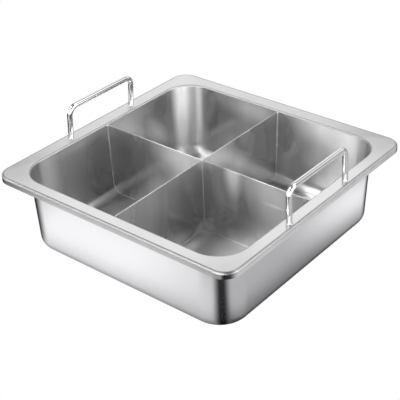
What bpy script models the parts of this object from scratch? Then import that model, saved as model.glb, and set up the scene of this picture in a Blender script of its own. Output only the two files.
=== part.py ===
"""A square hot pot pan of stainless steel, empty, with four compartments and two rod handles.

The pan is one pressed sheet: a flat floor, a large radius up into slightly tapered walls, a tight
bend out into a wide rim that dips towards the opening, and a rounded edge turned down into a short
skirt. Three plates stand inside it, one right across and two butted against that one, and a bent
rod stands on the rim at each side. Everything is welded together, so nothing moves.

Metres, +Z up. The origin is under the middle of the floor, on the surface the pan rests on.
"""
import math

import bmesh
import bpy
from mathutils import Matrix, Vector

MM = 0.001
WELD_GAP = 0.3 * MM  # left between pieces that are welded to each other

# The pressed sheet
SHEET = 1.2 * MM
PAN_WIDTH = 400 * MM
PAN_HEIGHT = 118 * MM
SKIRT_HEIGHT = 9 * MM
EDGE_RADIUS = 3 * MM
RIM_CORNER_RADIUS = 24 * MM
RIM_DIP = 1.7 * MM  # the rim's inner edge lies this much lower than its outer edge
LIP_RADIUS = 2.2 * MM
OPENING_WIDTH = 356 * MM
FLOOR_WIDTH = 350 * MM  # where the walls, drawn straight on down, would meet the floor's radius
WALL_CORNER_RADIUS = 42.5 * MM
FLOOR_RADIUS = 16.7 * MM
CORNER_STEPS = 10

# The plates across it
PLATE = 1.2 * MM
PLATE_DROP = 4 * MM  # from the rim's outer edge down to the plates' top edges

# The rod handles
ROD = 8 * MM
HANDLE_SPAN = 127.6 * MM  # between the centres of the two legs
HANDLE_RISE = 47.5 * MM  # from the rim's outer edge up to the centre of the grip
HANDLE_BEND = 12.5 * MM
HANDLE_OFFSET = 189.5 * MM  # from the middle of the pan to the legs' feet
LEFT_LEAN = math.radians(4.0)  # both handles lean a little in over the pan, as they were welded
RIGHT_LEAN = math.radians(2.0)

# What follows from them
FLOOR_TOP = SHEET
EDGE_HALF = PAN_WIDTH / 2
LIP_HALF = OPENING_WIDTH / 2 + LIP_RADIUS
LIP_TOP = PAN_HEIGHT - RIM_DIP
WALL_TOP = LIP_TOP - LIP_RADIUS
WALL_BOTTOM = FLOOR_TOP + FLOOR_RADIUS
RIM_SLOPE = RIM_DIP / (EDGE_HALF - EDGE_RADIUS - LIP_HALF)


def clear_scene():
    for old in list(bpy.data.objects):
        bpy.data.objects.remove(old, do_unlink=True)


def steel(name, shade, roughness):
    """Stainless steel, told apart only by how it was finished."""
    material = bpy.data.materials.new(name)
    material.use_nodes = True
    shader = material.node_tree.nodes["Principled BSDF"]
    shader.inputs["Base Color"].default_value = (shade, shade, shade, 1.0)
    shader.inputs["Metallic"].default_value = 1.0
    shader.inputs["Roughness"].default_value = roughness
    return material


def add_object(name, data, material, collection):
    thing = bpy.data.objects.new(name, data)
    data.materials.append(material)
    collection.objects.link(thing)
    return thing


def rounded_square(half, radius, height):
    """The points of one level ring, counter-clockwise from the middle of a corner's start."""
    ring = []
    for corner in range(4):
        turn = Matrix.Rotation(corner * math.pi / 2, 3, "Z")
        for step in range(CORNER_STEPS + 1):
            angle = step / CORNER_STEPS * math.pi / 2
            x = half - radius + radius * math.cos(angle)
            y = half - radius + radius * math.sin(angle)
            ring.append(turn @ Vector((x, y, height)))
    return ring


def quarter(steps):
    """How far a quarter bend has come, (along its start, along its end), both from 0 to 1."""
    for step in range(steps + 1):
        angle = step / steps * math.pi / 2
        yield math.sin(angle), 1 - math.cos(angle)


def pan_rings():
    """Half width, corner radius and height of each ring of the sheet's upper face, skirt to floor."""
    rings = [(EDGE_HALF, RIM_CORNER_RADIUS, PAN_HEIGHT - SKIRT_HEIGHT)]
    for up, inward in quarter(5):
        inset = EDGE_RADIUS * inward
        height = PAN_HEIGHT - EDGE_RADIUS * (1 - up)
        rings.append((EDGE_HALF - inset, RIM_CORNER_RADIUS - inset, height))
    for inward, down in quarter(4):
        inset = LIP_RADIUS * inward
        height = LIP_TOP - LIP_RADIUS * down
        rings.append((LIP_HALF - inset, WALL_CORNER_RADIUS + LIP_RADIUS - inset, height))
    for down, inward in quarter(6):
        inset = FLOOR_RADIUS * inward
        height = WALL_BOTTOM - FLOOR_RADIUS * down
        rings.append((FLOOR_WIDTH / 2 - inset, WALL_CORNER_RADIUS - inset, height))
    return rings


def make_pan(material, collection):
    """The rings joined by bands and closed by the floor, then given the sheet's thickness."""
    mesh = bpy.data.meshes.new("pan")
    shell = bmesh.new()
    loops = [[shell.verts.new(point) for point in rounded_square(*ring)] for ring in pan_rings()]
    for outer, inner in zip(loops, loops[1:]):
        for i, corner in enumerate(outer):
            shell.faces.new((outer[i - 1], corner, inner[i], inner[i - 1]))
    shell.faces.new(loops[-1])
    shell.to_mesh(mesh)
    shell.free()
    mesh.shade_smooth()
    pan = add_object("pan", mesh, material, collection)
    thickness = pan.modifiers.new("sheet", "SOLIDIFY")
    thickness.thickness = SHEET
    thickness.offset = -1.0
    thickness.use_even_offset = True
    return pan


def wall_half(height):
    """Half the pan's inside width at a height on its straight, tapered walls."""
    share = (height - WALL_BOTTOM) / (WALL_TOP - WALL_BOTTOM)
    return (FLOOR_WIDTH + (OPENING_WIDTH - FLOOR_WIDTH) * share) / 2


def plate_end():
    """The edge of a plate from the floor's flat up to its top, as (across, height) points."""
    radius = FLOOR_RADIUS - WELD_GAP
    foot = FLOOR_WIDTH / 2 - FLOOR_RADIUS
    points = [(foot + radius * out, WALL_BOTTOM - radius * (1 - up)) for out, up in quarter(8)]
    top = PAN_HEIGHT - PLATE_DROP
    points.append((wall_half(top) - WELD_GAP, top))
    return points


def make_plate(name, outline, turn, material, collection):
    """A flat plate from an (across, height) outline, stood up and turned about the pan's middle."""
    curve = bpy.data.curves.new(name, "CURVE")
    curve.dimensions = "2D"
    curve.fill_mode = "BOTH"
    curve.extrude = PLATE / 2
    edge = curve.splines.new("POLY")
    edge.points.add(len(outline) - 1)
    for point, (across, height) in zip(edge.points, outline):
        point.co = (across, height, 0.0, 1.0)
    edge.use_cyclic_u = True
    plate = add_object(name, curve, material, collection)
    plate.rotation_euler = (math.pi / 2, 0.0, turn)
    return plate


def make_plates(material, collection):
    end = plate_end()
    mirrored = [(-across, height) for across, height in reversed(end)]
    make_plate("divider_long", mirrored + end, math.pi / 2, material, collection)
    butt = PLATE / 2 + WELD_GAP
    short = [(butt, end[-1][1]), (butt, end[0][1])] + end
    make_plate("divider_right", short, 0.0, material, collection)
    make_plate("divider_left", short, math.pi, material, collection)


def handle_route(foot_height):
    """The rod's centre line, (across, height), up one leg, along the grip and down the other."""
    half = HANDLE_SPAN / 2
    leg = [(-half, foot_height)]
    for up, inward in quarter(8):
        leg.append((-half + HANDLE_BEND * inward, HANDLE_RISE - HANDLE_BEND * (1 - up)))
    return leg + [(-across, height) for across, height in reversed(leg)]


def make_handle(name, side, lean, material, collection):
    """A bent rod on the rim, its feet clear of the sloping rim by the welding gap."""
    rim_here = RIM_SLOPE * (HANDLE_OFFSET - (EDGE_HALF - EDGE_RADIUS))
    tilt = abs(math.atan(RIM_SLOPE) - lean)
    foot = rim_here + WELD_GAP + ROD / 2 * math.sin(tilt)
    curve = bpy.data.curves.new(name, "CURVE")
    curve.dimensions = "3D"
    curve.bevel_depth = ROD / 2
    curve.bevel_resolution = 4
    curve.use_fill_caps = True
    route = handle_route(foot)
    spline = curve.splines.new("POLY")
    spline.points.add(len(route) - 1)
    for point, (across, height) in zip(spline.points, route):
        point.co = (0.0, across, height, 1.0)
    spline.use_smooth = True
    handle = add_object(name, curve, material, collection)
    handle.location = (side * HANDLE_OFFSET, 0.0, PAN_HEIGHT)
    handle.rotation_euler = (0.0, -side * lean, 0.0)
    return handle


def main():
    clear_scene()
    collection = bpy.data.collections.new("divided_hot_pot_pan")
    bpy.context.scene.collection.children.link(collection)
    satin = steel("satin_steel", 0.62, 0.32)
    polished = steel("polished_steel", 0.70, 0.18)
    make_pan(satin, collection)
    make_plates(satin, collection)
    make_handle("handle_left", -1, LEFT_LEAN, polished, collection)
    make_handle("handle_right", 1, RIGHT_LEAN, polished, collection)


main()
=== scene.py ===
"""The looks of a divided hot pot pan of stainless steel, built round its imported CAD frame."""
import math
import random

import bmesh
import bpy
from mathutils import Matrix, Vector


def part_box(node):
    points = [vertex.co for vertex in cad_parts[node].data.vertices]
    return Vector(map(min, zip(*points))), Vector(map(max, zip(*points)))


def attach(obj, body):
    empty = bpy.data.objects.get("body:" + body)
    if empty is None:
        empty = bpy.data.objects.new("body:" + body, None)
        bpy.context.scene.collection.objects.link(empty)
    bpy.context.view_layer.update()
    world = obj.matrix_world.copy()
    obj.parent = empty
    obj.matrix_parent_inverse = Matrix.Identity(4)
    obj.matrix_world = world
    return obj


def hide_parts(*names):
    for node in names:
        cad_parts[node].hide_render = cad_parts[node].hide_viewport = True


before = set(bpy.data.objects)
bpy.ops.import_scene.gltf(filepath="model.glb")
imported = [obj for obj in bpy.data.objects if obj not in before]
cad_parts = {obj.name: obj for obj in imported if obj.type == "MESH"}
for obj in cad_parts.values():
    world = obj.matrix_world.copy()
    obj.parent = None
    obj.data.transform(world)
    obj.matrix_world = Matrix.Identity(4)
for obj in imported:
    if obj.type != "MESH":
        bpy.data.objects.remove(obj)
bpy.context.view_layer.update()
scene = bpy.context.scene

# ---------------------------------------------------------------- camera
# A long lens a little under a metre and a half away, from the front right and well above the rim.
CAMERA_AIM = Vector((0.0051, -0.0137, 0.058))
CAMERA_DISTANCE = 1.4387
CAMERA_AZIMUTH = math.radians(40.11)
CAMERA_ELEVATION = math.radians(31.84)
CAMERA_ROLL = math.radians(-2.13)
SENSOR = 36.0
LENS = 93.09

level = math.cos(CAMERA_ELEVATION)
back = Vector(
    (
        math.sin(CAMERA_AZIMUTH) * level,
        -math.cos(CAMERA_AZIMUTH) * level,
        math.sin(CAMERA_ELEVATION),
    )
)
camera_data = bpy.data.cameras.new("camera")
camera_data.sensor_width = SENSOR
camera_data.lens = LENS
camera = bpy.data.objects.new("camera", camera_data)
camera.location = CAMERA_AIM + back * CAMERA_DISTANCE
camera.rotation_euler = (
    back.to_track_quat("Z", "Y") @ Matrix.Rotation(CAMERA_ROLL, 3, "Z").to_quaternion()
).to_euler()
scene.collection.objects.link(camera)
scene.camera = camera
scene.view_settings.view_transform = "Standard"

# ---------------------------------------------------------------- the pan
# One sheet of stainless steel, pressed to a square pan with a wide rim, whose edge is turned down
# into a short skirt. The walls were then brushed level, all the way round, and the rim sanded.
MM = 0.001
SHEET = 1.2 * MM
SKIRT_HEIGHT = 9 * MM
EDGE_RADIUS = 3 * MM
RIM_CORNER_RADIUS = 24 * MM
RIM_DIP = 1.7 * MM  # the rim's inner edge lies this much lower than its outer edge
LIP_RADIUS = 2.2 * MM
CREASE = 0.8 * MM  # a thin band along the rim, beside the bend, painted darker as a dark line
OPENING_HALF = 178 * MM
FLOOR_HALF = 175 * MM  # where the walls, drawn straight on down, would meet the floor's radius
WALL_CORNER_RADIUS = 42.5 * MM
FLOOR_RADIUS = 16.7 * MM
CORNER_STEPS = 32
EDGE_STEPS = 10
LIP_STEPS = 8
FLOOR_STEPS = 16

pan_low, pan_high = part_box("pan")
RIM_TOP = pan_high.z
EDGE_HALF = pan_high.x
LIP_HALF = OPENING_HALF + LIP_RADIUS
RIM_SLOPE = RIM_DIP / (EDGE_HALF - EDGE_RADIUS - LIP_HALF)
WALL_TOP = RIM_TOP - RIM_DIP - LIP_RADIUS
WALL_BOTTOM = pan_low.z + SHEET + FLOOR_RADIUS


def rounded_square(half, radius, height):
    """The points of one level ring with round corners, counter-clockwise."""
    ring = []
    for corner in range(4):
        turn = Matrix.Rotation(corner * math.pi / 2, 3, "Z")
        for step in range(CORNER_STEPS + 1):
            angle = step / CORNER_STEPS * math.pi / 2
            x = half - radius + radius * math.cos(angle)
            y = half - radius + radius * math.sin(angle)
            ring.append(turn @ Vector((x, y, height)))
    return ring


def quarter(steps):
    """How far a quarter bend has come, (along its start, along its end), both from 0 to 1."""
    for step in range(steps + 1):
        angle = step / steps * math.pi / 2
        yield math.sin(angle), 1 - math.cos(angle)


def sheet_rings():
    """Half width, corner radius and height of each ring of the upper face, skirt to floor."""
    rings = [(EDGE_HALF, RIM_CORNER_RADIUS, RIM_TOP - SKIRT_HEIGHT)]
    for up, inward in quarter(EDGE_STEPS):
        inset = EDGE_RADIUS * inward
        height = RIM_TOP - EDGE_RADIUS * (1 - up)
        rings.append((EDGE_HALF - inset, RIM_CORNER_RADIUS - inset, height))
    inset = EDGE_RADIUS + CREASE
    height = RIM_TOP - CREASE * RIM_SLOPE
    rings.append((EDGE_HALF - inset, RIM_CORNER_RADIUS - inset, height))
    for inward, down in quarter(LIP_STEPS):
        inset = LIP_RADIUS * inward
        height = RIM_TOP - RIM_DIP - LIP_RADIUS * down
        rings.append((LIP_HALF - inset, WALL_CORNER_RADIUS + LIP_RADIUS - inset, height))
    for down, inward in quarter(FLOOR_STEPS):
        inset = FLOOR_RADIUS * inward
        height = WALL_BOTTOM - FLOOR_RADIUS * down
        rings.append((FLOOR_HALF - inset, WALL_CORNER_RADIUS - inset, height))
    return rings


def add_skin(body, rings, start=False, end=False):
    """Joins rings of as many points each by bands of faces, with a face across either end."""
    loops = [[body.verts.new(point) for point in ring] for ring in rings]
    bands = []
    for first, second in zip(loops, loops[1:]):
        band = []
        for i, corner in enumerate(first):
            band.append(body.faces.new((first[i - 1], corner, second[i], second[i - 1])))
        bands.append(band)
    if start:
        body.faces.new(reversed(loops[0]))
    if end:
        bands.append([body.faces.new(loops[-1])])
    return bands


def make_piece(name, body, nodes=()):
    """One smooth piece of the object from its mesh in the making."""
    mesh = bpy.data.meshes.new(name)
    body.to_mesh(mesh)
    body.free()
    mesh.shade_smooth()
    piece = bpy.data.objects.new(name, mesh)
    scene.collection.objects.link(piece)
    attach(piece, "root")
    if nodes:
        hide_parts(*nodes)
    return piece


def even_shading(piece):
    """Lets the flats keep their own shading right up to the bends beside them."""
    weighting = piece.modifiers.new("even shading", "WEIGHTED_NORMAL")
    weighting.mode = "FACE_AREA"
    weighting.weight = 100
    weighting.keep_sharp = True


class Wire:
    """One socket in a finish. Sums on wires add their Math nodes, and node() adds any other."""

    def __init__(self, tree, socket=None):
        self.tree = tree
        self.socket = socket

    def node(self, kind, settings, sockets, output=0):
        made = self.tree.nodes.new(kind)
        for name, value in settings.items():
            setattr(made, name, value)
        for name, value in sockets.items():
            if isinstance(value, Wire):
                self.tree.links.new(value.socket, made.inputs[name])
            else:
                made.inputs[name].default_value = value
        return Wire(self.tree, made.outputs[output])

    def math(self, operation, first, second=0.0):
        return self.node("ShaderNodeMath", {"operation": operation}, {0: first, 1: second})

    def __add__(self, other):
        return self.math("ADD", self, other)

    def __sub__(self, other):
        return self.math("SUBTRACT", self, other)

    def __rsub__(self, other):
        return self.math("SUBTRACT", other, self)

    def __neg__(self):
        return self.math("SUBTRACT", 0.0, self)

    def __mul__(self, other):
        return self.math("MULTIPLY", self, other)

    __radd__ = __add__
    __rmul__ = __mul__


def ramp(wire, low, high):
    """From 0 where the wire is at its low to 1 at its high, smoothly."""
    return wire.node(
        "ShaderNodeMapRange",
        {"interpolation_type": "SMOOTHSTEP"},
        {"Value": wire, "From Min": low, "From Max": high},
    )


def stretched_noise(start, places, stretch, detail=2.0):
    """Noise from 0 to 1 with so many grains to the metre along X, Y and Z."""
    spread = start.node(
        "ShaderNodeVectorMath", {"operation": "MULTIPLY"}, {0: places, 1: stretch}
    )
    return start.node(
        "ShaderNodeTexNoise", {}, {"Vector": spread, "Scale": 1.0, "Detail": detail}
    )


def steel(name, shade, roughness, grain, scratch, cloud, anisotropy=0.0, ripple=0.0):
    """Stainless steel with a grain: how bright, how rough, and how deep its brush marks are.

    The grain is the brush marks to the metre along X, Y and Z. Scratches and clouds change the
    shade by those shares and the roughness by a few times as much, and the ripple is how far the
    sheet waves, in metres.
    """
    material = bpy.data.materials.new(name)
    material.use_nodes = True
    shader = material.node_tree.nodes["Principled BSDF"]
    start = Wire(material.node_tree)
    places = start.node("ShaderNodeTexCoord", {}, {}, "Object")
    marks = stretched_noise(start, places, grain) - 0.5
    streaks = stretched_noise(start, places, [each * STREAK_SHARE for each in grain]) - 0.5
    clouds = stretched_noise(start, places, [CLOUDS] * 3, detail=3.0) - 0.5
    brushing = marks + streaks
    tone = 1.0 + brushing * scratch + clouds * cloud
    colour = start.node(
        "ShaderNodeVectorMath", {"operation": "SCALE"}, {0: shade, "Scale": tone}
    )
    rough = roughness * (1.0 + brushing * scratch * SCRATCH_DULLS + clouds * cloud * CLOUD_DULLS)
    waves = stretched_noise(start, places, RIPPLES, detail=1.0)
    rippled = start.node(
        "ShaderNodeBump", {}, {"Height": waves, "Strength": 1.0, "Distance": ripple}
    )
    scratched = start.node(
        "ShaderNodeBump",
        {},
        {"Height": brushing, "Strength": 1.0, "Distance": SCRATCH_DEPTH * scratch, "Normal": rippled},
    )
    links = material.node_tree.links
    links.new(colour.socket, shader.inputs["Base Color"])
    links.new(rough.socket, shader.inputs["Roughness"])
    links.new(scratched.socket, shader.inputs["Normal"])
    shader.inputs["Metallic"].default_value = 1.0
    shader.inputs["Anisotropic"].default_value = anisotropy
    shader.inputs["Anisotropic Rotation"].default_value = ALONG_THE_GRAIN
    return material


def haze_and_painted_light(material, base, patches, shade=0.95, roughness=0.35, anisotropy=0.85):
    """Mixes a rougher steel of another shade into a finish. There is a little of it everywhere, in
    uneven streaks as an unevenly polished sheet has, and more or less of it in soft patches that
    paint highlights and shade onto the steel.

    A patch has its middle and its reach along X, Y and Z, in millimetres, the degrees it is
    turned about X, Y and Z, and the share of the rougher steel it adds. If that is less than
    nothing, it is the part of all that share there which it takes away.
    """
    tree = material.node_tree
    start = Wire(tree)
    bright = tree.nodes["Principled BSDF"]
    dull = tree.nodes.new("ShaderNodeBsdfPrincipled")
    dull.inputs["Base Color"].default_value = (shade, shade, shade, 1.0)
    dull.inputs["Metallic"].default_value = 1.0
    dull.inputs["Roughness"].default_value = roughness
    dull.inputs["Anisotropic"].default_value = anisotropy
    dull.inputs["Anisotropic Rotation"].default_value = ALONG_THE_GRAIN
    places = start.node("ShaderNodeTexCoord", {}, {}, "Object")
    streaks = stretched_noise(start, places, HAZE_GRAIN)
    amount = streaks * HAZE_SPREAD + (base - HAZE_SPREAD / 2)
    for middle, reach, turned, strength in patches:
        inside = start.node(
            "ShaderNodeMapping",
            {"vector_type": "TEXTURE"},
            {
                "Vector": places,
                "Location": [each * MM for each in middle],
                "Rotation": [math.radians(each) for each in turned],
                "Scale": [each * MM for each in reach],
            },
        )
        away = start.node("ShaderNodeVectorMath", {"operation": "LENGTH"}, {0: inside}, "Value")
        patch = ramp(away, 1.0, 0.0) * strength
        amount = amount + patch if strength > 0 else amount * (1.0 + patch)
    mixed = start.node("ShaderNodeMixShader", {}, {"Fac": amount})
    tree.links.new(bright.outputs["BSDF"], mixed.socket.node.inputs[1])
    tree.links.new(dull.outputs["BSDF"], mixed.socket.node.inputs[2])
    tree.links.new(mixed.socket, tree.nodes["Material Output"].inputs["Surface"])


RIM_SHADE = (0.70, 0.70, 0.705)
EDGE_SHADE = (0.88, 0.88, 0.885)
BEND_SHADE = (0.38, 0.38, 0.383)
CREASE_SHADE = (0.36, 0.36, 0.36)
# The outside's faint blue is a painted tint that stands in for the cool light it mirrors.
OUTSIDE_SHADE = (0.70, 0.695, 0.718)
# The inside of the sheet and the plates get a darker steel than the outside of the same sheet:
# painted shade for the pan's deep inside.
INSIDE_SHADE = (0.5, 0.5, 0.505)
ALONG_THE_GRAIN = 0.25  # of a turn
LEVEL_GRAIN = (6.0, 6.0, 500.0)
FLOOR_GRAIN = (8.0, 700.0, 8.0)
FINE_GRAIN = (500.0, 500.0, 500.0)
STREAK_SHARE = 0.16
CLOUDS = 22.0
RIPPLES = (34.0, 34.0, 6.0)  # upright folds, as a drawn wall has
SCRATCH_DEPTH = 0.1 * MM
SCRATCH_DULLS = 4  # a scratch changes the roughness by this many times its change of shade
CLOUD_DULLS = 2  # and a cloud by this many

brushed_wall = steel(
    "brushed_wall",
    INSIDE_SHADE,
    roughness=0.17,
    grain=LEVEL_GRAIN,
    scratch=0.10,
    cloud=0.10,
    anisotropy=0.5,
    ripple=0.25 * MM,
)
brushed_floor = steel(
    "brushed_floor",
    INSIDE_SHADE,
    roughness=0.2,
    grain=FLOOR_GRAIN,
    scratch=0.08,
    cloud=0.10,
    ripple=0.2 * MM,
)
sanded_rim = steel(
    "sanded_rim", RIM_SHADE, roughness=0.3, grain=FINE_GRAIN, scratch=0.04, cloud=0.04
)
bright_edge = steel(
    "bright_edge", EDGE_SHADE, roughness=0.14, grain=FINE_GRAIN, scratch=0.03, cloud=0.03
)
# A much darker copy of the rim's steel for the bend at the rim's edge and for the lip: painted shade
# that dims their highlights.
painted_shade_bend = steel(
    "painted_shade_bend", BEND_SHADE, roughness=0.48, grain=FINE_GRAIN, scratch=0.04, cloud=0.04
)
# A darker copy of the rim's steel for the thin band beside the bend: a painted dark line along the
# rim.
painted_dark_crease = steel(
    "painted_dark_crease", CREASE_SHADE, roughness=0.35, grain=FINE_GRAIN, scratch=0.04, cloud=0.04
)
bright_outside = steel(
    "bright_outside",
    OUTSIDE_SHADE,
    roughness=0.2,
    grain=LEVEL_GRAIN,
    scratch=0.03,
    cloud=0.03,
    anisotropy=0.4,
)
HAZE_SPREAD = 0.2
HAZE_GRAIN = (30.0, 30.0, 6.0)
WALL_PAINTED_LIGHT = [  # painted highlights and shade on the walls and their radius down to the floor: middle, reach, degrees turned, then the share of rougher steel mixed in
    ((-176, 0, 5), (20, 9000, 6), (0, 0, 0), 0.80),
    ((0, 176, 5), (9000, 20, 6), (0, 0, 0), 0.80),
    ((-176, -125, 75), (30, 30, 90), (0, 0, 0), 0.30),
    ((-176, -60, 112), (30, 90, 18), (0, 0, 0), 0.12),
    ((-176, 50, 100), (30, 65, 45), (-20, 0, 0), 0.32),
    ((-176, 108, 55), (30, 50, 22), (-52, 0, 0), 0.75),
    ((-50, 176, 105), (80, 30, 30), (0, 0, 0), 0.40),
    ((100, 176, 105), (95, 30, 65), (0, 20, 0), 0.95),
    ((70, 176, 55), (35, 30, 30), (0, 0, 0), 0.25),
    ((-168, 156, 60), (21, 21, 150), (0, 0, 0), 1.00),
    ((-147, 173, 70), (9, 9, 130), (0, 0, 0), 0.70),
    ((-150, 150, 3), (45, 45, 12), (0, 0, 0), 0.60),
    ((-176, 120, 95), (30, 40, 45), (-40, 0, 0), -0.60),
    ((-176, -28, 60), (30, 42, 80), (0, 0, 0), -0.60),
    ((-122, 176, 80), (20, 30, 80), (0, 0, 0), -0.70),
    ((12, 176, 85), (38, 30, 60), (0, -25, 0), -0.80),
    ((164, 161, 100), (18, 18, 90), (0, 0, 0), -0.95),
]
# Painted highlights on the floors of the compartments, which the plates mirror as well.
FLOOR_PAINTED_LIGHT = [
    ((14, -38, 1), (16, 45, 30), (0, 0, 0), 0.45),
    ((90, 90, 1), (150, 150, 30), (0, 0, 0), 0.50),
    ((-120, 120, 1), (100, 100, 30), (0, 0, 0), 0.60),
    ((0, 0, 1), (25, 18, 30), (0, 0, 0), 0.50),
]
# Painted shade: the rim is darker towards three of its corners.
RIM_PAINTED_SHADE = [
    ((-200, -200, 118), (150, 150, 30), (0, 0, 0), 0.70),
    ((200, 200, 118), (135, 135, 30), (0, 0, 0), 0.70),
    ((200, -200, 118), (110, 110, 30), (0, 0, 0), 0.35),
]
# Painted shade: a dark patch on the skirt and the bend at the front corner, standing in for a dark
# reflection.
EDGE_PAINTED_SHADE = [
    ((195, -191.5, 112), (12, 12, 30), (0, 0, 0), 0.90),
]
haze_and_painted_light(sanded_rim, 0.1, RIM_PAINTED_SHADE, shade=0.4, roughness=0.3, anisotropy=0.0)
# The skirt and the bend both take this painted dark patch.
for darkened in (bright_edge, painted_shade_bend):
    haze_and_painted_light(darkened, 0.1, EDGE_PAINTED_SHADE, shade=0.06, roughness=0.4, anisotropy=0.0)
haze_and_painted_light(brushed_wall, 0.2, WALL_PAINTED_LIGHT)
haze_and_painted_light(brushed_floor, 0.35, FLOOR_PAINTED_LIGHT)
FINISHES = [
    brushed_wall,
    brushed_floor,
    sanded_rim,
    bright_edge,
    painted_shade_bend,
    painted_dark_crease,
    bright_outside,
]
WALL, FLOOR, RIM, EDGE, BEND, CREASED, OUTSIDE = range(len(FINISHES))
CREASE_BANDS = 3  # the crease itself and the last two bands of the bend beside it

sheet = bmesh.new()
bands = add_skin(sheet, [rounded_square(*ring) for ring in sheet_rings()], end=True)
for edge in {edge for face in bands[0] for edge in face.edges if edge.is_boundary}:
    edge.smooth = False  # the skirt's cut edge
finish_of = [EDGE] + [BEND] * (EDGE_STEPS + 1 - CREASE_BANDS) + [CREASED] * CREASE_BANDS + [RIM]
finish_of += [BEND] * LIP_STEPS + [WALL] * (FLOOR_STEPS + 1) + [FLOOR]
for band, finish in zip(bands, finish_of, strict=True):
    for face in band:
        face.material_index = finish
pan = make_piece("pan_sheet", sheet, ["pan"])
for finish in FINISHES:
    pan.data.materials.append(finish)
thickness = pan.modifiers.new("sheet", "SOLIDIFY")
thickness.thickness = SHEET
thickness.offset = -1.0
thickness.use_even_offset = True
thickness.material_offset = OUTSIDE
even_shading(pan)

# ---------------------------------------------------------------- the plates across it
# Three flat plates of the same sheet, cut to the pan's inside and stood up in it: one right
# across, and one on each side of that, butted against it. Their top edges were rounded by hand.
PLATE = 1.2 * MM
PLATE_EDGE = 0.35 * MM
WELD_GAP = 0.3 * MM
MERGE = 0.01 * MM
PLATE_END_STEPS = 12

PLATE_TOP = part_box("divider_long")[1].z


def wall_half(height):
    """Half the pan's inside width at a height on its straight, tapered walls."""
    share = (height - WALL_BOTTOM) / (WALL_TOP - WALL_BOTTOM)
    return FLOOR_HALF + (OPENING_HALF - FLOOR_HALF) * share


def plate_end():
    """The edge of a plate from the floor's flat up to its top, as (across, height) points."""
    radius = FLOOR_RADIUS - WELD_GAP
    foot = FLOOR_HALF - FLOOR_RADIUS
    points = []
    for out, up in quarter(PLATE_END_STEPS):
        points.append((foot + radius * out, WALL_BOTTOM - radius * (1 - up)))
    points.append((wall_half(PLATE_TOP) - WELD_GAP, PLATE_TOP))
    return points


def plate(name, node, outline, turn):
    """A flat plate from an (across, height) outline, stood up and turned about the pan's middle."""
    curve = bpy.data.curves.new(name, "CURVE")
    curve.dimensions = "2D"
    curve.fill_mode = "BOTH"
    curve.extrude = PLATE / 2 - PLATE_EDGE
    curve.bevel_depth = PLATE_EDGE
    curve.bevel_resolution = 3
    curve.offset = -PLATE_EDGE
    edge = curve.splines.new("POLY")
    edge.points.add(len(outline) - 1)
    for point, (across, height) in zip(edge.points, outline):
        point.co = (across, height, 0.0, 1.0)
    edge.use_cyclic_u = True
    stencil = bpy.data.objects.new(name + "_outline", curve)
    scene.collection.objects.link(stencil)
    bpy.context.view_layer.update()
    depsgraph = bpy.context.evaluated_depsgraph_get()
    mesh = bpy.data.meshes.new_from_object(stencil.evaluated_get(depsgraph))
    bpy.data.objects.remove(stencil)
    flat = bmesh.new()
    flat.from_mesh(mesh)
    bmesh.ops.remove_doubles(flat, verts=flat.verts, dist=MERGE)
    stand = Matrix.Rotation(turn, 4, "Z") @ Matrix.Rotation(math.pi / 2, 4, "X")
    bmesh.ops.transform(flat, matrix=stand, verts=flat.verts)
    piece = make_piece(name, flat, [node])
    even_shading(piece)
    return piece


plate_edge = plate_end()
far_edge = [(-across, height) for across, height in reversed(plate_edge)]
butt = PLATE / 2 + WELD_GAP
short_plate = [(butt, plate_edge[-1][1]), (butt, plate_edge[0][1])] + plate_edge
brushed_plate = steel(
    "brushed_plate",
    INSIDE_SHADE,
    roughness=0.16,
    grain=LEVEL_GRAIN,
    scratch=0.10,
    cloud=0.12,
    anisotropy=0.5,
    ripple=0.3 * MM,
)
plates = [
    plate("plate_long", "divider_long", far_edge + plate_edge, math.pi / 2),
    plate("plate_right", "divider_right", short_plate, 0.0),
    plate("plate_left", "divider_left", short_plate, math.pi),
]
# Painted highlights and shade on the plates, among them a slanting painted reflection on the long
# plate.
PLATE_PAINTED_LIGHT = [
    ((-45, 0, 105), (60, 30, 50), (0, 0, 0), 0.80),
    ((-85, 0, 40), (50, 30, 50), (0, 0, 0), 0.15),
    ((53, 0, 105), (20, 30, 45), (0, 0, 0), 0.95),
    ((112, 0, 100), (60, 30, 60), (0, 0, 0), 0.60),
    ((28, 0, 60), (16, 30, 50), (0, 0, 0), 0.12),
    ((120, 0, 84), (25, 30, 4), (0, 0, 0), 0.30),
    ((0, 30, 108), (30, 60, 30), (-20, 0, 0), 0.65),
    ((0, 85, 70), (30, 75, 22), (-39, 0, 0), 0.85),
    ((0, 140, 25), (30, 60, 22), (-39, 0, 0), 1.00),
    ((0, -12, 6), (30, 30, 14), (30, 0, 0), 0.60),
    ((-150, 0, 75), (60, 30, 60), (0, 0, 0), -0.60),
    ((70, 0, 60), (14, 30, 60), (0, 0, 0), -0.60),
    ((48, 0, 35), (50, 30, 22), (0, 30, 0), -0.60),
    ((0, -28, 60), (30, 60, 90), (0, 0, 0), -0.80),
    ((6, 0, 70), (12, 30, 90), (0, 0, 0), -0.60),
]
haze_and_painted_light(brushed_plate, 0.16, PLATE_PAINTED_LIGHT)
for piece in plates:
    piece.data.materials.append(brushed_plate)

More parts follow.
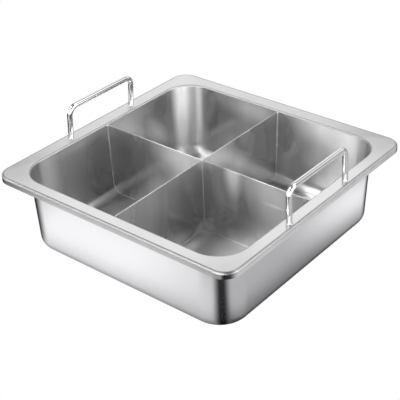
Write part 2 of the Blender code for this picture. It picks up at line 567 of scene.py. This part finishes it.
# ---------------------------------------------------------------- the welds
# The plates are welded to the walls, the floor and each other along both faces. The beads were
# ground back by hand to narrow fillets of uneven width, with a blob left here and there.
WALL_BEAD = 1.3 * MM
FLOOR_BEAD = 1.1 * MM
CROSSING_BEAD = 0.6 * MM
BEAD_SINK = 0.2 * MM  # how far a bead reaches into the sheet and into the plate
BEAD_STEP = 2.0 * MM
HOLLOW = 0.45  # of the way from a straight chamfer to a fully hollow fillet
FILLET_STEPS = 5
SWELLS = 5
SWELL_PITCH = (0.02, 0.3)  # radians to a step along the bead
SWELL_START = (0, 6.3)
SWELL_DEPTH = (0.06, 0.14)
BLOBS = 2
BLOB_RISE = (0.4, 1.0)

hand = random.Random(11)


def uneven_widths(width, count):
    """Bead widths along a seam, as a hand leaves them: slow swells, small ripples, a few blobs."""
    swells = [
        (hand.uniform(*SWELL_PITCH), hand.uniform(*SWELL_START), hand.uniform(*SWELL_DEPTH))
        for _ in range(SWELLS)
    ]
    blobs = [(hand.uniform(0, count), hand.uniform(*BLOB_RISE)) for _ in range(BLOBS)]
    widths = []
    for i in range(count):
        size = 1 + sum(depth * math.sin(pitch * i + start) for pitch, start, depth in swells)
        size += sum(rise * math.exp(-((i - place) ** 2) / 2) for place, rise in blobs)
        widths.append(width * size)
    return widths


def fillet(corner, side, inward, width):
    """One cross-section of a bead in the corner between two faces, leaning on both."""
    ring = [
        corner - (side + inward) * BEAD_SINK,
        corner + side * width - inward * BEAD_SINK,
    ]
    for step in range(FILLET_STEPS + 1):
        share = step / FILLET_STEPS
        turn = share * math.pi / 2
        chamfer = side * (1 - share) + inward * share
        hollow = side * (1 - math.sin(turn)) + inward * (1 - math.cos(turn))
        ring.append(corner + (chamfer * (1 - HOLLOW) + hollow * HOLLOW) * width)
    ring.append(corner + inward * width - side * BEAD_SINK)
    return ring


def seam_route():
    """Along a plate's edge from its top to the crossing: across, height, and the way inwards."""
    route = []
    drop = PLATE_TOP - WALL_BOTTOM
    for step in range(int(drop / BEAD_STEP)):
        height = PLATE_TOP - step * BEAD_STEP
        route.append((wall_half(height), height, -1.0, 0.0, WALL_BEAD))
    for step in range(FLOOR_STEPS + 1):
        turn = step / FLOOR_STEPS * math.pi / 2
        across = FLOOR_HALF - FLOOR_RADIUS * (1 - math.cos(turn))
        height = WALL_BOTTOM - FLOOR_RADIUS * math.sin(turn)
        bead = WALL_BEAD + (FLOOR_BEAD - WALL_BEAD) * step / FLOOR_STEPS
        route.append((across, height, -math.cos(turn), math.sin(turn), bead))
    foot = FLOOR_HALF - FLOOR_RADIUS
    for step in range(1, int(foot / BEAD_STEP)):
        route.append((foot - step * BEAD_STEP, SHEET, 0.0, 1.0, FLOOR_BEAD))
    route.append((PLATE / 2, SHEET, 0.0, 1.0, FLOOR_BEAD))
    return route


def plate_welds():
    """The beads along both faces of every plate's edge, and up the four corners where they cross."""
    beads = bmesh.new()
    for quarter_turn in range(4):
        turn = Matrix.Rotation(quarter_turn * math.pi / 2, 3, "Z")
        for face in (-1, 1):
            side = turn @ Vector((0.0, face, 0.0))
            route = seam_route()
            swell = uneven_widths(1.0, len(route))
            rings = []
            for (across, height, out, up, bead), size in zip(route, swell):
                corner = turn @ Vector((across, 0.0, height)) + side * (PLATE / 2)
                inward = turn @ Vector((out, 0.0, up))
                rings.append(fillet(corner, side, inward, bead * size))
            add_skin(beads, rings, start=True, end=True)
        along = turn @ Vector((1.0, 0.0, 0.0))
        across = turn @ Vector((0.0, 1.0, 0.0))
        steps = int((PLATE_TOP - SHEET) / BEAD_STEP)
        rings = []
        for step, width in enumerate(uneven_widths(CROSSING_BEAD, steps + 1)):
            corner = (along + across) * (PLATE / 2)
            corner.z = SHEET + (PLATE_TOP - SHEET) * step / steps
            rings.append(fillet(corner, along, across, width))
        add_skin(beads, rings, start=True, end=True)
    bmesh.ops.recalc_face_normals(beads, faces=beads.faces)
    return make_piece("plate_welds", beads)


BEAD_SHADE = (0.5, 0.5, 0.5)
ground_bead = steel(
    "ground_bead", BEAD_SHADE, roughness=0.35, grain=FINE_GRAIN, scratch=0.2, cloud=0.2
)
welds = plate_welds()
welds.data.materials.append(ground_bead)

# ---------------------------------------------------------------- the handles
# Two round rods of stainless steel, each bent to a flat-topped loop and polished bright. One stands
# on the rim at either side, leaning a little in over the pan, and is welded there.
ROD_STEPS = 32
BEND_STEPS = 24
HANDLE_SPAN = 127.6 * MM  # between the centres of the two legs
HANDLE_RISE = 47.5 * MM  # from the rim's outer edge up to the centre of the grip
HANDLE_BEND = 12.5 * MM
HANDLE_OFFSET = 189.5 * MM  # from the middle of the pan to the legs' feet
LEFT_LEAN = math.radians(4.0)
RIGHT_LEAN = math.radians(2.0)
ROD = 8 * MM
ROD_SHADE = (0.74, 0.74, 0.745)


def handle(name, node, side, lean):
    """A rod bent to a loop, at the side and the lean given, its feet just clear of the rim."""
    rim_here = RIM_SLOPE * (HANDLE_OFFSET - (EDGE_HALF - EDGE_RADIUS))
    tilt = abs(math.atan(RIM_SLOPE) - lean)
    foot = rim_here + WELD_GAP + ROD / 2 * math.sin(tilt)
    half = HANDLE_SPAN / 2
    middle = half - HANDLE_BEND
    stations = [((-half, foot), 0.0), ((-half, HANDLE_RISE - HANDLE_BEND - ROD / 4), 0.0)]
    for step in range(BEND_STEPS + 1):
        turn = step / BEND_STEPS * math.pi / 2
        across = -middle - HANDLE_BEND * math.cos(turn)
        height = HANDLE_RISE - HANDLE_BEND * (1 - math.sin(turn))
        stations.append(((across, height), turn))
    stations.append(((-middle + ROD / 4, HANDLE_RISE), math.pi / 2))
    mirrored = [((-across, height), math.pi - turn) for (across, height), turn in reversed(stations)]
    rings = []
    for (across, height), turn in stations + mirrored:
        ring = []
        for step in range(ROD_STEPS):
            angle = step / ROD_STEPS * 2 * math.pi
            out = ROD / 2 * math.cos(angle)
            ring.append(
                Vector(
                    (
                        ROD / 2 * math.sin(angle),
                        across - out * math.cos(turn),
                        height + out * math.sin(turn),
                    )
                )
            )
        rings.append(ring)
    rod = bmesh.new()
    add_skin(rod, rings, start=True, end=True)
    bmesh.ops.recalc_face_normals(rod, faces=rod.faces)
    stand = Matrix.Translation((side * HANDLE_OFFSET, 0.0, RIM_TOP))
    lean_in = Matrix.Rotation(-side * lean, 4, "Y")
    bmesh.ops.transform(rod, matrix=stand @ lean_in, verts=rod.verts)
    return make_piece(name, rod, [node])


handles = [
    handle("rod_left", "handle_left", -1, LEFT_LEAN),
    handle("rod_right", "handle_right", 1, RIGHT_LEAN),
]
polished_rod = steel(
    "polished_rod", ROD_SHADE, roughness=0.06, grain=FINE_GRAIN, scratch=0.0, cloud=0.03
)
for piece in handles:
    piece.data.materials.append(polished_rod)

# ---------------------------------------------------------------- the handles' foot welds
# A small bead of weld runs all round each of the four feet, where the rod stands on the sloping
# rim. It was ground by hand, as the plates' beads were, so its width wavers a little.
FOOT_BEAD = 0.8 * MM
FOOT_BEAD_HEIGHT = 0.9 * MM
FOOT_STEPS = 6
LOBES, LOBE_DEPTH = 3, 0.12
DENTS, DENT_DEPTH = 7, 0.08


def foot_weld(beads, side, lean, end):
    """A hollow collar round a rod's foot, lying on the sloping rim."""
    rings = []
    for step in range(FOOT_STEPS + 1):
        turn = step / FOOT_STEPS * math.pi / 2
        out = FOOT_BEAD * (1 - math.sin(turn))
        up = FOOT_BEAD_HEIGHT * (1 - math.cos(turn))
        ring = []
        for spoke in range(ROD_STEPS):
            angle = spoke / ROD_STEPS * 2 * math.pi
            wobble = 1 + LOBE_DEPTH * math.sin(LOBES * angle + end)
            wobble += DENT_DEPTH * math.sin(DENTS * angle + side)
            reach = ROD / 2 - BEAD_SINK + out * wobble
            x = HANDLE_OFFSET + reach * math.cos(angle) - up * math.sin(lean)
            y = end * HANDLE_SPAN / 2 + reach * math.sin(angle)
            z = RIM_TOP - RIM_SLOPE * (EDGE_HALF - EDGE_RADIUS - x) - BEAD_SINK + up
            ring.append(Vector((side * x, y, z)))
        rings.append(ring)
    add_skin(beads, rings, start=True, end=True)


collars = bmesh.new()
for side, lean in ((-1, LEFT_LEAN), (1, RIGHT_LEAN)):
    for end in (-1, 1):
        foot_weld(collars, side, lean, end)
bmesh.ops.recalc_face_normals(collars, faces=collars.faces)
foot_welds = make_piece("foot_welds", collars)
foot_welds.data.materials.append(ground_bead)

# ---------------------------------------------------------------- floor and light
# The pan stands on white paper in a white tent, and soft lamps shine on the tent from outside:
# six round its sides and three higher up, each as wide, as tall and as bright as its line says.
DEGREE = math.pi / 180
TENT = 0.25  # how bright the tent is between the lamps
LAMP_EDGE = 4.0  # how far a lamp's light fades out on the tent, in degrees
LAMPS = [  # azimuth and half its width, bottom and top, in degrees, then how bright
    (10.0, 27.0, -20.0, 31.0, 5.5),
    (268.0, 22.0, -20.0, 36.0, 4.5),
    (312.0, 24.0, -20.0, 24.0, 8.0),
    (215.0, 32.0, -20.0, 12.0, 3.5),
    (130.0, 26.0, 6.0, 42.0, 1.0),
    (72.0, 22.0, 6.0, 42.0, 0.8),
    (45.0, 32.0, 46.0, 70.0, 3.8),
    (110.0, 40.0, 58.0, 80.0, 0.6),
    (225.0, 30.0, 38.0, 66.0, 4.5),
]

tent = bpy.data.worlds.new("tent")
scene.world = tent
tent.use_nodes = True
start = Wire(tent.node_tree)
way = start.node("ShaderNodeTexCoord", {}, {}, "Generated")
height = start.node("ShaderNodeSeparateXYZ", {}, {"Vector": way}, "Z")
rise = start.math("ARCSINE", height) * (1 / DEGREE)
flat = start.node("ShaderNodeVectorMath", {"operation": "MULTIPLY"}, {0: way, 1: (1.0, 1.0, 0.0)})
heading = start.node("ShaderNodeVectorMath", {"operation": "NORMALIZE"}, {0: flat})
light = start.math("ADD", TENT, 0.0)
for azimuth, half, bottom, top, strength in LAMPS:
    facing = (math.cos(azimuth * DEGREE), math.sin(azimuth * DEGREE), 0.0)
    beside = start.node(
        "ShaderNodeVectorMath", {"operation": "DOT_PRODUCT"}, {0: heading, 1: facing}, "Value"
    )
    turned = start.math("ARCCOSINE", start.math("MINIMUM", beside, 1.0)) * (1 / DEGREE)
    across = 1.0 - ramp(turned, half - LAMP_EDGE, half + LAMP_EDGE)
    below = ramp(rise, bottom - LAMP_EDGE, bottom + LAMP_EDGE)
    above = 1.0 - ramp(rise, top - LAMP_EDGE, top + LAMP_EDGE)
    light = light + strength * (across * below * above)
shine = tent.node_tree.nodes["Background"]
shine.inputs["Strength"].default_value = 1.0
tent.node_tree.links.new(light.socket, shine.inputs["Color"])


def paper(name, sheet):
    """White paper that shines by itself, of whatever shape it has been given."""
    mesh = bpy.data.meshes.new(name)
    sheet.to_mesh(mesh)
    sheet.free()
    piece = bpy.data.objects.new(name, mesh)
    scene.collection.objects.link(piece)
    material = bpy.data.materials.new(name)
    material.use_nodes = True
    shader = material.node_tree.nodes["Principled BSDF"]
    shader.inputs["Base Color"].default_value = (0.0, 0.0, 0.0, 1.0)
    shader.inputs["Specular IOR Level"].default_value = 0.0
    shader.inputs["Emission Color"].default_value = (1.0, 1.0, 1.0, 1.0)
    shader.inputs["Emission Strength"].default_value = 1.0
    mesh.materials.append(material)
    return piece


# Plain white paper all round the pan, as a room. The camera sees it, and the pan doesn't.
ROOM = 12.0
FLOOR_DROP = 0.5 * MM
room = bmesh.new()
bmesh.ops.create_cube(room, size=ROOM)
bmesh.ops.translate(room, verts=room.verts, vec=(0.0, 0.0, ROOM / 2 - FLOOR_DROP))
floor = paper("floor", room)
floor.visible_glossy = False
floor.visible_diffuse = False
floor.visible_shadow = False

# What the pan's outside mirrors is the table right round it, which glows by itself in a painted
# pattern of brighter and darker stretches, with a painted shadow where it runs in under the pan.
# The camera doesn't see it. The places below are in metres from the pan's middle.
TABLE_HALF = 3.0
TABLE_DROP = 1.0 * MM
card = bmesh.new()
bmesh.ops.create_grid(card, x_segments=1, y_segments=1, size=TABLE_HALF)
bmesh.ops.translate(card, verts=card.verts, vec=(0.0, 0.0, -TABLE_DROP))
table = paper("table", card)
table.visible_camera = False
table.visible_diffuse = False
table_tree = table.data.materials[0].node_tree
start = Wire(table_tree)
places = start.node("ShaderNodeTexCoord", {}, {}, "Object")
x = start.node("ShaderNodeSeparateXYZ", {}, {"Vector": places}, "X")
y = start.node("ShaderNodeSeparateXYZ", {}, {"Vector": places}, "Y")
FOOT = 0.165  # where the pan's walls come down
UNDER, OUT = 0.025, 0.06  # the glow sets in from this far under the pan to this far out from it, as a painted shadow round its foot
CORNER = 0.148  # where the dark strips start
WRAP = -100.0  # bearings below this are counted on past half a turn


def strip(corner, low, high):
    """A dark strip of the table that runs out from a corner of the pan, by its bearings."""
    bearing = start.math("ARCTAN2", y - corner[1], x - corner[0]) * (1 / DEGREE)
    bearing = bearing + 360.0 * start.math("LESS_THAN", bearing, WRAP)
    return ramp(bearing, *low) * (1.0 - ramp(bearing, *high))


LEFT_STRIP_DARK = 0.75
RIGHT_STRIP_DARK = 0.6
front_strip = strip((CORNER, -CORNER), (-84.0, -54.0), (-40.0, -14.0))
left_strip = strip((-CORNER, -CORNER), (130.0, 155.0), (190.0, 250.0))
right_strip = strip((CORNER, CORNER), (35.0, 85.0), (110.0, 135.0))

# The front is brightest close to the pan, and fades outwards, to the right, and far to the left.
FRONT_GLOW, FRONT_FADE, FRONT_SIDE_FADE = 1.3, 0.78, 0.38
out_front = -FOOT - y
front = ramp(out_front, -UNDER, OUT) * (FRONT_GLOW - FRONT_FADE * ramp(out_front, 0.1, 0.165))
front = front * (1.0 - FRONT_SIDE_FADE * ramp(x, -0.06, 0.17)) * ramp(x, -0.45, -0.2)

# The right is dimmer and nearly even, with one brighter place near the pan towards the back.
RIGHT_GLOW, RIGHT_RISE, RIGHT_BRIGHTER = 0.55, 0.07, 1.25
out_right = x - FOOT
right = ramp(out_right, 0.0, OUT) * (RIGHT_GLOW + RIGHT_RISE * ramp(out_right, 0.09, 0.13))
near = 1.0 - ramp(out_right, 0.06, 0.11)
brighter = ramp(y, 0.0, 0.2) * (1.0 - ramp(y, 0.25, 0.35)) * near
right = right * (1.0 + RIGHT_BRIGHTER * brighter)

# The two sides away from the camera are plain, and die away where they meet the other two.
FAR_GLOW, LEAST_GLOW = 0.7, 0.04
back = FAR_GLOW * ramp(y, FOOT - UNDER, FOOT + OUT) * (1.0 - ramp(x, 0.0, 0.15))
left = FAR_GLOW * ramp(-x, FOOT - UNDER, FOOT + OUT) * ramp(y, -0.12, 0.05)
nearer = start.math("MAXIMUM", front, right)
farther = start.math("MAXIMUM", back, left)
glow = start.math("MAXIMUM", nearer, farther) + LEAST_GLOW
glow = glow * (1.0 - front_strip)
glow = glow * (1.0 - LEFT_STRIP_DARK * left_strip) * (1.0 - RIGHT_STRIP_DARK * right_strip)
table_shader = table_tree.nodes["Principled BSDF"]
table_tree.links.new(glow.socket, table_shader.inputs["Emission Color"])
